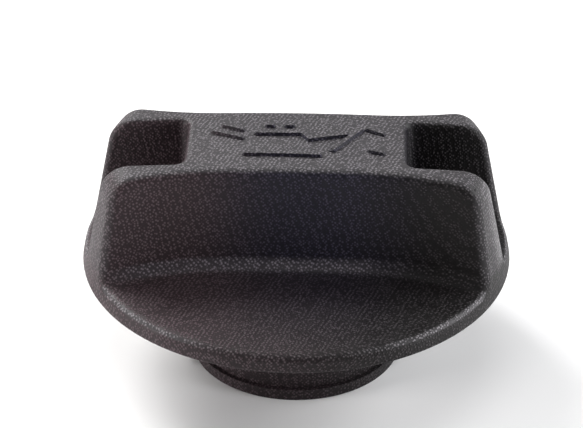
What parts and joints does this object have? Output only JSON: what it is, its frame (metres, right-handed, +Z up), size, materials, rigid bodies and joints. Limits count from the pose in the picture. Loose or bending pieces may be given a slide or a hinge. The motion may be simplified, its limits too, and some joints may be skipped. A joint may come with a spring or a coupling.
{
  "type": "engine oil filler cap",
  "caption": "Round domed filler cap with a waisted H-shaped finger grip on top and, below, a hollow bayonet neck with a rubber sealing ring.",
  "frame": {"origin": "centre of the neck's open end, on which the cap stands", "axes": "+Z up along the turning axis, towards the grip; +X along the grip"},
  "size_m": [0.0698, 0.0698, 0.0388],
  "materials": {
    "cap_plastic": "fine moulded grain, near black",
    "seal_rubber": "matt black rubber"
  },
  "bodies": {
    "root": {"cap_body": "cap_plastic", "sealing_ring": "seal_rubber"}
  },
  "joints": []
}
